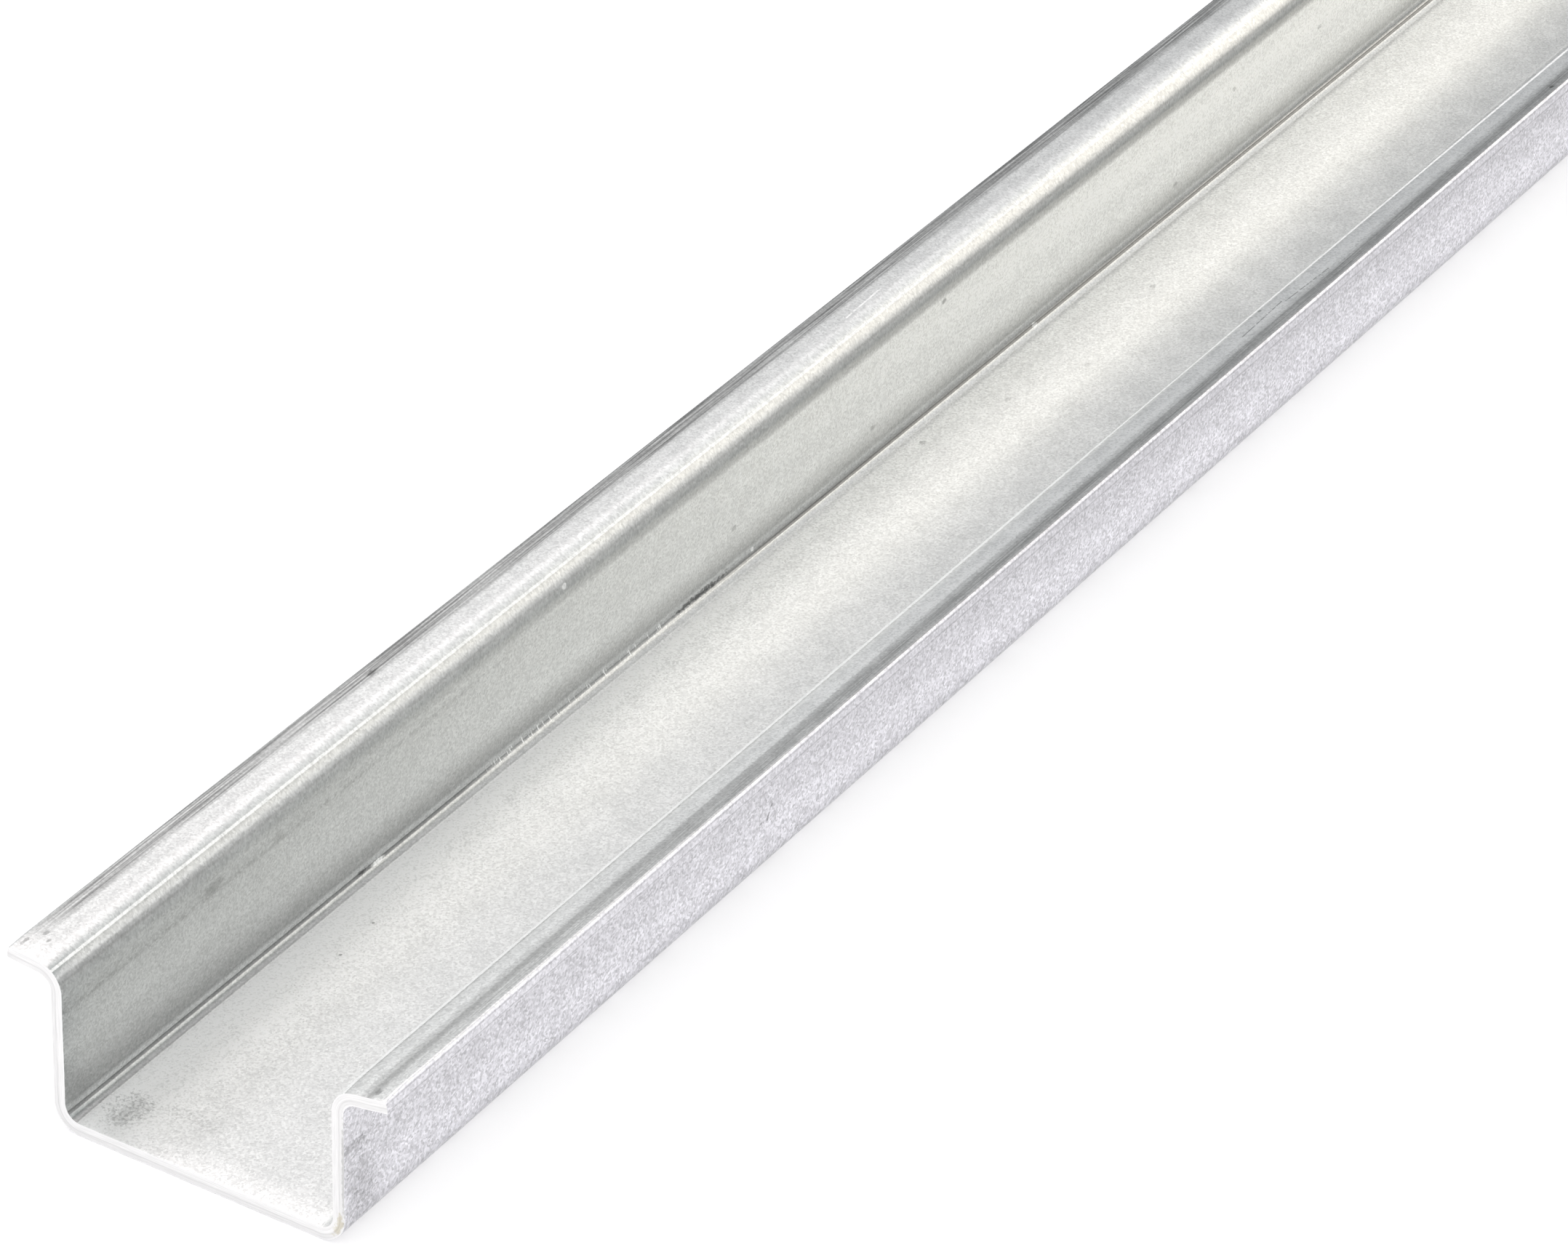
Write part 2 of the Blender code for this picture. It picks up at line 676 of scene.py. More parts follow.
@dataclass(frozen=True, kw_only=True)
class StripLine(Mark):
    """A thin line along the strip, some left by rolls and some painted highlights and painted shade; its
    drift is in millimetres per 100 mm.
    """

    across: float
    half_width: float
    drift: float = 0.0
    soft: float = 0.08
    starts: Optional[float] = None
    stops: Optional[float] = None
    fade: float = 8.0
    broken: bool = False
    gaps: Range = (0.40, 0.56)

    def mask(self, desk: NodeDesk, place: StripPlace) -> Socket:
        """Nearness to the line, where it isn't broken, has started and hasn't stopped.

        Args:
            desk: the material's node desk.
            place: the place on the strip.

        Returns:
            1 on the line and 0 away from it.
        """
        found = LINE.mask(
            desk,
            place.strip,
            across=self.across,
            drift=self.drift,
            half_width=self.half_width,
            soft=self.soft,
        )
        if self.starts is not None:
            found = desk.product(found, desk.step(place.along, self.starts, self.starts + self.fade))
        if self.stops is not None:
            found = desk.product(found, desk.step(place.along, self.stops - self.fade, self.stops, 1.0, 0.0))
        if self.broken:
            found = desk.product(found, desk.step(place.rough, *self.gaps))
        return found


@dataclass(frozen=True, kw_only=True)
class StripBand(Mark):
    """A soft-edged band along the strip: some are as wide as a roll that pressed on it, many are painted
    light and shade on the bends and walls.
    """

    low: float
    high: float
    low_soft: float = 0.2
    high_soft: float = 0.2

    def mask(self, desk: NodeDesk, place: StripPlace) -> Socket:
        """1 between the band's two sides."""
        return BAND.mask(
            desk, place.strip, low=self.low, high=self.high, low_soft=self.low_soft, high_soft=self.high_soft
        )


@dataclass(frozen=True, kw_only=True)
class DrawnZone(StripBand):
    """A band that the guides scuffed into long dark streaks, less so beside the cuts."""

    streak_length: float = 14.0
    streak_width: float = 0.16
    streak_range: Range = (0.36, 0.62)
    seed: float = 0.0
    least: float = 0.25
    clean_cut: float = 8.0
    share_at_cut: float = 0.2

    def mask(self, desk: NodeDesk, place: StripPlace) -> Socket:
        """The band, filled with streaks.

        Args:
            desk: the material's node desk.
            place: the place on the strip.

        Returns:
            1 on the streaks, and the least share between them.
        """
        streaks = STREAKS.mask(
            desk, place.strip, length=self.streak_length, width=self.streak_width, seed=self.seed
        )
        return desk.product(
            super().mask(desk, place),
            desk.ramp(streaks, *self.streak_range, self.least, 1.0),
            desk.step(place.from_cut, 0.0, self.clean_cut, self.share_at_cut, 1.0),
        )


@dataclass(frozen=True, kw_only=True)
class Spot(Mark):
    """A small ragged mark, or a patch of fine specks."""

    along: float
    across: float
    tone: float = 0.70
    along_reach: float = 0.5
    across_reach: float = 0.32
    ragged: float = 1.2
    speckled: bool = False
    speck_range: Range = (0.44, 0.64)

    def mask(self, desk: NodeDesk, place: StripPlace) -> Socket:
        """Nearness to the spot's middle, broken into specks if it is a patch of them.

        Args:
            desk: the material's node desk.
            place: the place on the strip.

        Returns:
            1 on the spot and 0 away from it.
        """
        found = SPOT.mask(
            desk,
            place.strip,
            rough=place.rough,
            along=self.along,
            across=self.across,
            along_reach=self.along_reach,
            across_reach=self.across_reach,
            ragged=self.ragged,
        )
        return desk.product(found, desk.step(place.specks, *self.speck_range)) if self.speckled else found


@dataclass(frozen=True, kw_only=True)
class Scrape(Mark):
    """A straight scratch between two places on the strip, each as (along, across)."""

    start: tuple[float, float]
    end: tuple[float, float]
    half_width: float = 0.09
    gaps: Range = (0.36, 0.50)

    def mask(self, desk: NodeDesk, place: StripPlace) -> Socket:
        """Nearness to the scratch, which skips here and there.

        Args:
            desk: the material's node desk.
            place: the place on the strip.

        Returns:
            1 on the scratch and 0 away from it.
        """
        found = SCRATCH.mask(
            desk,
            place.strip,
            from_along=self.start[0],
            from_across=self.start[1],
            to_along=self.end[0],
            to_across=self.end[1],
            half_width=self.half_width,
        )
        return desk.product(found, desk.step(place.rough, *self.gaps))


@dataclass(frozen=True, kw_only=True)
class Burrs(StripBand):
    """A stretch of fine ticks that stand across a roll line."""

    starts: float
    stops: float
    fade: float = 3.0
    tick: float = 0.22
    tick_width: float = 2.5
    tick_range: Range = (0.58, 0.66)
    seed: float = 7.0

    def mask(self, desk: NodeDesk, place: StripPlace) -> Socket:
        """The band's stretch, cut into ticks.

        Args:
            desk: the material's node desk.
            place: the place on the strip.

        Returns:
            1 on the ticks and 0 away from them.
        """
        ticks = STREAKS.mask(desk, place.strip, length=self.tick, width=self.tick_width, seed=self.seed)
        return desk.product(
            super().mask(desk, place),
            desk.step(place.along, self.starts, self.starts + self.fade),
            desk.step(place.along, self.stops - self.fade, self.stops, 1.0, 0.0),
            desk.step(ticks, *self.tick_range),
        )


@dataclass(frozen=True)
class MetalFinish:
    """What every finish of the sheet shares: a metal shader that reads the strip's place."""

    name: str = "metal"
    colour: Colour = (0.78, 0.79, 0.785)
    metallic: float = 1.0
    roughness: float = 0.30
    marks: tuple[Mark, ...] = ()

    def material(self) -> bpy.types.Material:
        """Make the finish.

        Returns:
            The finish as a Blender material.
        """
        made, shader = new_material(self.name)
        shader["Metallic"].default_value = self.metallic
        shader["Roughness"].default_value = self.roughness
        desk = NodeDesk(made.node_tree)
        self.dress(desk, StripPlace.read(desk), shader)
        return made

    def dress(self, desk: NodeDesk, place: StripPlace, shader: Any) -> None:
        """Feed the shader's sockets from the place on the strip."""
        raise NotImplementedError

    def add_marks(
        self, desk: NodeDesk, place: StripPlace, light: Socket, rough: Socket
    ) -> tuple[Socket, Socket]:
        """Add every mark of this finish.

        Args:
            desk: the material's node desk.
            place: the place on the strip.
            light: the lightness of the sheet without marks.
            rough: its roughness without marks.

        Returns:
            The lightness and the roughness with the marks.
        """
        for mark in self.marks:
            mask = mark.mask(desk, place)
            light = desk.product(light, desk.kept(mask, mark.level(desk, place)))
            if mark.roughness is not None:
                rough = desk.ramp(mask, 0.0, 1.0, rough, mark.roughness)
        return light, rough

    def add_relief(self, desk: NodeDesk, shader: Any, height: Socket, depth: float) -> None:
        """Feed the shader's normal from a height, whose full depth is in metres."""
        bump = desk.add("Bump", {"Strength": 1.0, "Distance": depth, "Height": height})
        desk.feed(shader["Normal"], bump.outputs[0])


LEFT_FLANGE_MARKS_AND_PAINTED_LIGHT: tuple[Mark, ...] = (
    DrawnZone(low=28.02, high=31.0, low_soft=0.35, tone=0.36, far_tone=0.30, seed=2.0),
    StripBand(low=28.4, high=31.0, low_soft=0.4, tone=1.0, far_tone=0.92, changes_from=30.0, settles=75.0),
    # Painted shade on the flange top near the cut, fading out by 60 mm.
    StripBand(low=25.75, high=27.4, low_soft=0.15, high_soft=0.5, tone=0.93, far_tone=1.0, settles=60.0),
    Scrape(start=(115.0, 26.8), end=(121.0, 27.0), half_width=0.10, tone=1.35, roughness=0.5),
    Spot(along=46.5, across=28.4, along_reach=0.8, tone=0.5),
    Spot(along=3.0, across=28.1, along_reach=0.5, across_reach=0.25, tone=0.66, ragged=2.0),
    Spot(along=2.4, across=27.4, along_reach=0.35, across_reach=0.2, tone=0.66, ragged=2.0),
    Spot(along=1.3, across=28.8, along_reach=0.55, across_reach=0.18, tone=0.6, ragged=2.0),
    # Painted light on the flange's bend, in the next three marks: painted shade where the bend's own
    # highlight falls, a painted highlight line at its outer edge, partly a burnished roll line, and painted
    # shade on the bend below.
    StripBand(low=24.98, high=25.48, low_soft=0.12, high_soft=0.05, tone=0.88, far_tone=0.76),
    StripLine(across=25.57, half_width=0.05, soft=0.06, tone=1.35, roughness=0.66),
    StripBand(low=24.55, high=24.98, low_soft=0.12, high_soft=0.12, tone=0.55, far_tone=0.70, settles=40.0),
)

LEFT_WALL_MARKS_AND_PAINTED_LIGHT: tuple[Mark, ...] = (
    # Painted glint on a small nick.
    Spot(along=68.0, across=24.4, along_reach=0.35, across_reach=0.25, tone=1.5, roughness=0.6),
    # Painted light and shade on the wall, from here to the burrs: darker near the cut and lighter further
    # along, where the lamps fall, and darker towards the bends above and below, where shade falls. The dark
    # lines along the foot are partly roll lines and partly painted shade in the crease.
    StripBand(low=23.35, high=24.3, low_soft=0.35, high_soft=0.25, tone=0.82, far_tone=0.64, settles=190.0),
    StripBand(low=21.9, high=23.3, low_soft=0.4, high_soft=0.35, tone=0.76, far_tone=1.14, settles=120.0),
    StripLine(across=22.3, half_width=0.12, soft=0.14, tone=0.84, stops=72.0, fade=22.0, broken=True),
    StripBand(low=14.2, high=21.9, low_soft=0.5, high_soft=0.5, tone=0.81, far_tone=1.11),
    StripBand(low=19.6, high=21.8, low_soft=0.9, high_soft=0.4, tone=1.0, far_tone=1.10, settles=160.0),
    StripBand(low=15.4, high=18.2, low_soft=0.9, high_soft=0.9, tone=0.86, far_tone=1.0, settles=70.0),
    StripBand(low=13.5, high=15.6, low_soft=0.45, high_soft=1.6, tone=0.60, far_tone=0.66),
    StripBand(low=13.45, high=14.0, low_soft=0.2, high_soft=0.2, tone=0.84, far_tone=1.0, settles=120.0),
    StripBand(low=13.0, high=13.4, low_soft=0.12, high_soft=0.15, tone=0.84, far_tone=0.76),
    StripBand(low=12.75, high=13.05, low_soft=0.1, high_soft=0.1, tone=1.0, far_tone=0.62, settles=190.0),
    StripLine(across=12.85, drift=-0.04, half_width=0.15, soft=0.08, tone=0.62, stops=104.0, fade=26.0),
    StripLine(across=12.83, drift=-0.10, half_width=0.18, soft=0.08, tone=0.60, stops=60.0),
    StripLine(across=12.93, drift=-0.16, half_width=0.15, soft=0.08, tone=0.70, starts=84.0),
    StripLine(across=12.77, drift=-0.19, half_width=0.19, soft=0.06, tone=0.30, starts=78.0, fade=26.0),
    StripBand(
        low=12.31, high=12.68, low_soft=0.06, high_soft=0.06, tone=0.88, far_tone=1.0,
        changes_from=78.0, settles=104.0,
    ),
    # The burr ticks are real; their white is a painted glint.
    Burrs(
        low=12.50, high=13.2, low_soft=0.05, high_soft=0.25, starts=54.0, stops=92.0, tone=3.0, roughness=0.7
    ),
    Spot(along=88.0, across=13.0, along_reach=4.5, across_reach=0.4, tone=0.4, ragged=2.4),
    # Painted glint on a nick in the bend, with a real dark fleck beside it.
    Spot(along=40.9, across=12.75, along_reach=0.9, across_reach=0.30, tone=3.2, roughness=0.6),
    Spot(along=38.9, across=12.95, along_reach=0.8, across_reach=0.3, tone=0.45, ragged=2.0),
    # Painted glints on two small nicks.
    Spot(along=143.0, across=12.45, along_reach=0.5, across_reach=0.4, tone=3.0, roughness=0.6),
    Spot(along=96.4, across=13.2, along_reach=0.25, across_reach=0.35, tone=2.2, roughness=0.6),
    Spot(along=19.4, across=22.85, along_reach=1.6, across_reach=0.7, tone=0.74),
    Spot(along=28.0, across=22.6, along_reach=1.1, across_reach=0.6, tone=0.84),
    Spot(along=93.7, across=17.0),
    Spot(along=116.0, across=15.7),
    Spot(along=127.5, across=22.8, tone=0.5),
    Spot(along=169.0, across=15.3),
    Spot(along=179.5, across=20.5),
    Spot(along=196.0, across=19.8),
)

WEB_MARKS_AND_PAINTED_LIGHT: tuple[Mark, ...] = (
    # Painted light and shade across the web's left side: painted shade in the corner beside the bend,
    # painted light that lifts the foot of the web where it reflects the shaded wall, darker there further
    # along, and a painted sheen over the near stretch that fades by 150 mm.
    StripBand(low=11.50, high=12.28, low_soft=0.14, high_soft=0.12, tone=0.50, far_tone=0.84, settles=140.0),
    StripBand(low=9.8, high=11.42, low_soft=0.9, high_soft=0.12, tone=1.20, far_tone=1.10, roughness=0.62),
    StripBand(low=11.0, high=11.42, low_soft=0.3, high_soft=0.12, tone=1.0, far_tone=0.76, settles=190.0),
    StripBand(low=5.0, high=11.4, low_soft=3.0, high_soft=0.15, tone=1.27, far_tone=1.0, roughness=0.46),
    Spot(along=3.4, across=9.4, along_reach=2.9, across_reach=2.4, tone=0.80),
    Spot(along=3.6, across=9.3, along_reach=3.0, across_reach=2.6, tone=0.72, speckled=True),
    Spot(along=5.4, across=4.8, along_reach=1.1, across_reach=4.6, tone=0.84, speckled=True),
    # Painted light on the right bend's channel side, which lifts the shade where the bend reflects itself.
    StripBand(low=-14.5, high=-11.1, low_soft=0.2, high_soft=0.6, tone=1.25, roughness=0.55),
    Spot(along=34.2, across=7.8, along_reach=0.20, across_reach=0.16, tone=0.5),
    Spot(along=29.2, across=7.45, along_reach=0.20, across_reach=0.16, tone=0.5),
    Spot(along=120.5, across=9.9),
    Spot(along=131.0, across=7.5, tone=0.8),
    Spot(along=140.0, across=4.7, tone=0.8),
    Spot(along=155.5, across=6.8, tone=0.8),
)

RIGHT_FLANGE_MARKS_AND_PAINTED_LIGHT: tuple[Mark, ...] = (
    # Painted light and shade on the flange top beside the bend: darker near the cut, lighter further along.
    StripBand(low=-26.3, high=-25.55, low_soft=0.2, high_soft=0.05, tone=0.88, far_tone=1.0),
    StripBand(low=-27.2, high=-26.0, low_soft=0.3, high_soft=0.2, tone=1.0, far_tone=1.15, settles=90.0),
    # Painted highlight along the flange's bend, bright near the cut and dimmer from 75 mm on.
    StripBand(
        low=-25.52, high=-24.0, low_soft=0.05, tone=1.60, far_tone=0.88,
        changes_from=75.0, settles=125.0, roughness=0.8,
    ),
    # Painted highlight: a thin white line that drifts across the bend from 85 mm on.
    StripLine(across=-24.35, drift=-0.88, half_width=0.06, soft=0.07, tone=1.90, roughness=0.75, starts=85.0),
    # Painted shade on the flange top, darker near the cut and fading further along.
    StripBand(low=-27.4, high=-26.9, low_soft=0.15, high_soft=0.2, tone=0.78, far_tone=1.1, settles=70.0),
    StripBand(low=-28.0, high=-27.4, low_soft=0.3, high_soft=0.15, tone=0.58, far_tone=1.0, settles=130.0),
    DrawnZone(
        low=-28.95, high=-27.85, low_soft=0.15, high_soft=0.25, tone=0.90, far_tone=0.58, settles=110.0,
        clean_cut=30.0, least=0.45,
    ),
    DrawnZone(
        low=-28.8, high=-28.0, low_soft=0.2, high_soft=0.3, tone=0.70,
        streak_length=4.0, streak_width=0.11, seed=9.0, clean_cut=14.0, least=0.0,
    ),
    StripBand(low=-29.8, high=-28.95, low_soft=0.1, high_soft=0.15, tone=1.05, far_tone=0.45, settles=80.0),
    Scrape(start=(131.5, -26.9), end=(138.8, -26.7), tone=0.50),
    Scrape(start=(139.0, -27.0), end=(146.0, -27.4), tone=0.50),
    Spot(along=136.6, across=-25.8, along_reach=0.3, across_reach=0.2, tone=0.5),
    Spot(along=186.4, across=-28.5, along_reach=0.4, across_reach=0.25, tone=0.4),
    Spot(along=0.9, across=-27.9, along_reach=0.5, across_reach=0.35, tone=0.66),
)

OUTSIDE_MARKS_AND_PAINTED_SHADE: tuple[Mark, ...] = (
    StripBand(low=-17.2, high=-13.9, low_soft=1.2, high_soft=0.3, tone=1.14),
    # Painted shade on the bottom bend, which faces down towards the floor.
    StripBand(low=-13.45, high=-12.3, low_soft=0.15, high_soft=0.2, tone=0.93),
    StripBand(low=-20.8, high=-19.4, low_soft=0.2, high_soft=0.4, tone=0.98, far_tone=0.90),
    Spot(along=2.2, across=-15.9, along_reach=2.8, across_reach=3.4, tone=0.84),
    Spot(along=2.4, across=-15.4, along_reach=2.2, across_reach=2.6, tone=0.74, speckled=True),
    Spot(along=2.0, across=-19.7, along_reach=2.0, across_reach=1.2, tone=0.70, speckled=True),
    Spot(along=1.2, across=-20.2, along_reach=1.6, across_reach=0.5, tone=0.74),
    Scrape(start=(58.1, -17.0), end=(58.8, -18.1), half_width=0.16, tone=0.50),
    Spot(along=57.2, across=-17.1, along_reach=0.25, across_reach=0.15, tone=0.6),
)


@dataclass(frozen=True)
class ZincSide(MetalFinish):
    """A coated side of the sheet: zinc crystals with a fine relief, over soft mottling."""

    crystal_size: float = 0.16
    crystals_kept: Range = (0.82, 1.18)
    mottle_size: float = 3.0
    mottle_kept: Range = (0.97, 1.03)
    uneven: float = 0.02
    relief: float = 0.000004
    most_light: Optional[float] = None

    def dress(self, desk: NodeDesk, place: StripPlace, shader: Any) -> None:
        """Lay the marks on the mottling, and the crystals over both.

        Args:
            desk: the material's node desk.
            place: the place on the strip.
            shader: the shader's inputs.
        """
        grain = GRAIN.place(desk, place.strip, size=self.crystal_size, mottle_size=self.mottle_size)
        light = desk.spread(grain["Mottle"], *self.mottle_kept)
        rough = desk.spread(grain["Mottle"], self.roughness - self.uneven, self.roughness + self.uneven)
        light, rough = self.add_marks(desk, place, light, rough)
        crystals = desk.ramp(grain["Crystals"], *CRYSTAL_RANGE, *self.crystals_kept)
        light = self.held(desk, desk.product(self.held(desk, light), crystals))
        desk.feed(shader["Base Color"], desk.lit(self.colour, light))
        desk.feed(shader["Roughness"], rough)
        self.add_relief(desk, shader, grain["Crystals"], self.relief)

    def held(self, desk: NodeDesk, light: Socket) -> Socket:
        """The light, held to the most that this side returns, where it has such a limit."""
        return light if self.most_light is None else desk.math("MINIMUM", light, self.most_light)


@dataclass(frozen=True)
class InsideZinc(ZincSide):
    """The side of the sheet that faces the channel and the devices."""

    name: str = "zinc_inside"
    marks: tuple[Mark, ...] = LEFT_FLANGE_MARKS_AND_PAINTED_LIGHT + LEFT_WALL_MARKS_AND_PAINTED_LIGHT + WEB_MARKS_AND_PAINTED_LIGHT + RIGHT_FLANGE_MARKS_AND_PAINTED_LIGHT
    most_light: Optional[float] = 1.27
    dull_foot: StripBand = StripBand(
        low=9.0, high=11.2, low_soft=1.5, tone=0.55, far_tone=0.0, changes_from=10.0, settles=120.0
    )

    def dress(self, desk: NodeDesk, place: StripPlace, shader: Any) -> None:
        """Dull the zinc at the foot of the left wall, most of all near the cut.

        Args:
            desk: the material's node desk.
            place: the place on the strip.
            shader: the shader's inputs.
        """
        super().dress(desk, place, shader)
        dull = desk.product(self.dull_foot.mask(desk, place), self.dull_foot.level(desk, place))
        desk.feed(shader["Metallic"], desk.kept(dull, 0.0))


@dataclass(frozen=True)
class OutsideZinc(ZincSide):
    """The side of the sheet that faces away from the channel, with coarser crystals that sparkle."""

    name: str = "zinc_outside"
    colour: Colour = (0.640, 0.635, 0.666)
    roughness: float = 0.45
    marks: tuple[Mark, ...] = OUTSIDE_MARKS_AND_PAINTED_SHADE
    crystal_size: float = 0.20
    crystals_kept: Range = (0.70, 1.30)
    mottle_size: float = 2.5
    mottle_kept: Range = (0.95, 1.04)
    uneven: float = 0.03
    relief: float = 0.000008


@dataclass(frozen=True)
class SlitEdge(MetalFinish):
    """The long edges of the flanges, where the strip was slit from the coil.

    Its marks lie on the edge: their distances across are depths in the sheet.
    """

    name: str = "slit_edge"
    colour: Colour = (0.66, 0.655, 0.69)
    roughness: float = 0.42
    marks: tuple[Mark, ...] = (
        StripLine(across=0.24, half_width=0.03, soft=0.07, tone=0.80),
        StripLine(across=-0.42, half_width=0.03, soft=0.07, tone=0.78),
    )
    streak_length: float = 22.0
    streak_width: float = 0.07
    streaks_kept: Range = (0.92, 1.06)
    seed: float = 4.0
    crystal_size: float = 0.20
    crystals_kept: Range = (0.78, 1.22)
    # Painted light: the edge is lighter near the cut, and darkens to this share from 20 mm to 90 mm.
    settles: Range = (20.0, 90.0)
    far_tone: float = 0.86
    # Painted highlight on the rounded corner.
    corner: Range = (0.31, 0.42)
    corner_highlight: float = 1.50
    uneven: float = 0.10

    def dress(self, desk: NodeDesk, place: StripPlace, shader: Any) -> None:
        """Paint a highlight on the rounded corner, and streak and grain the edge below it; the edge is
        painted lighter near the cut than further along.

        Args:
            desk: the material's node desk.
            place: the place on the strip.
            shader: the shader's inputs.
        """
        edge = desk.joined(place.along, place.through, 0.0)
        lines = STREAKS.mask(desk, edge, length=self.streak_length, width=self.streak_width, seed=self.seed)
        grain = GRAIN.place(desk, edge, size=self.crystal_size)["Crystals"]
        light = desk.product(
            desk.spread(lines, *self.streaks_kept),
            desk.ramp(grain, *CRYSTAL_RANGE, *self.crystals_kept),
            desk.step(place.along, *self.settles, 1.0, self.far_tone),
            desk.step(place.through, *self.corner, 1.0, self.corner_highlight),
        )
        rough = desk.spread(lines, self.roughness, self.roughness + self.uneven)
        light, rough = self.add_marks(desk, replace(place, strip=edge), light, rough)
        desk.feed(shader["Base Color"], desk.lit(self.colour, light))
        desk.feed(shader["Roughness"], rough)


@dataclass(frozen=True)
class CutEnd(MetalFinish):
    """The bare steel of the rail's cut ends.

    Its marks lie on the cut: their distances along are distances across the strip, and their
    distances across are depths in the sheet.
    """

    name: str = "cut_end"
    colour: Colour = (0.95, 0.945, 0.95)
    metallic: float = 0.4
    roughness: float = 0.5
    seam: StripLine = StripLine(across=-0.10, half_width=0.03, soft=0.07, tone=0.90)
    dull: Spot = Spot(along=-18.3, across=-0.58, along_reach=6.0, across_reach=0.28, tone=0.68)
    stain: Spot = Spot(
        along=-13.5, across=-0.15, along_reach=1.3, across_reach=0.45, ragged=1.9,
        tone=0.6, far_tone=0.0, changes_from=1.0, settles=2.0,
    )
    stain_colour: Colour = (0.64, 0.58, 0.42)
    torn_side: Range = (-0.25, 0.10)
    torn_tone: float = 0.94
    tear_length: float = 2.2
    tear_width: float = 0.09
    tear_range: Range = (0.32, 0.68)
    tears_kept: Range = (0.88, 1.05)
    seed: float = 5.0
    rim: Range = (0.42, 0.54)
    rim_tone: float = 1.02
    uneven: float = 0.08
    relief: float = 0.00003

    def dress(self, desk: NodeDesk, place: StripPlace, shader: Any) -> None:
        """Bright on the side that was cut first, torn and greyer on the other, with one tan stain.

        Args:
            desk: the material's node desk.
            place: the place on the strip.
            shader: the shader's inputs.
        """
        face = desk.joined(place.across, place.through, 0.0)
        on_cut = replace(place, strip=face)
        torn = STREAKS.mask(desk, face, length=self.tear_length, width=self.tear_width, seed=self.seed)
        light = desk.product(
            desk.step(place.through, *self.torn_side, self.torn_tone, 1.0),
            desk.ramp(torn, *self.tear_range, *self.tears_kept),
            desk.kept(self.seam.mask(desk, on_cut), self.seam.tone),
        )
        rim = desk.step(desk.math("ABSOLUTE", place.through), *self.rim)
        light = desk.ramp(rim, 0.0, 1.0, light, self.rim_tone)
        light = desk.product(light, desk.kept(self.dull.mask(desk, on_cut), self.dull.tone))
        stained = desk.product(self.stain.mask(desk, on_cut), self.stain.level(desk, place))
        colour = desk.blend(stained, self.colour, self.stain_colour)
        rough = desk.spread(torn, self.roughness - self.uneven, self.roughness + self.uneven)
        desk.feed(shader["Base Color"], desk.lit(colour, light))
        desk.feed(shader["Roughness"], rough)
        self.add_relief(desk, shader, torn, self.relief)


@dataclass(frozen=True)
class EdgeBreak:
    """A rounding of the edges where two of the sheet's surfaces meet."""

    first: Surface
    second: Surface
    width: float
    segments: int

    def edges(self, sheet: bmesh.types.BMesh) -> list[bmesh.types.BMEdge]:
        """Find the edges.

        Args:
            sheet: the closed sheet.

        Returns:
            Its edges where the two surfaces meet.
        """
        wanted = {self.first.value, self.second.value}
        return [
            edge for edge in sheet.edges
            if len(edge.link_faces) == 2 and {face.material_index for face in edge.link_faces} == wanted
        ]


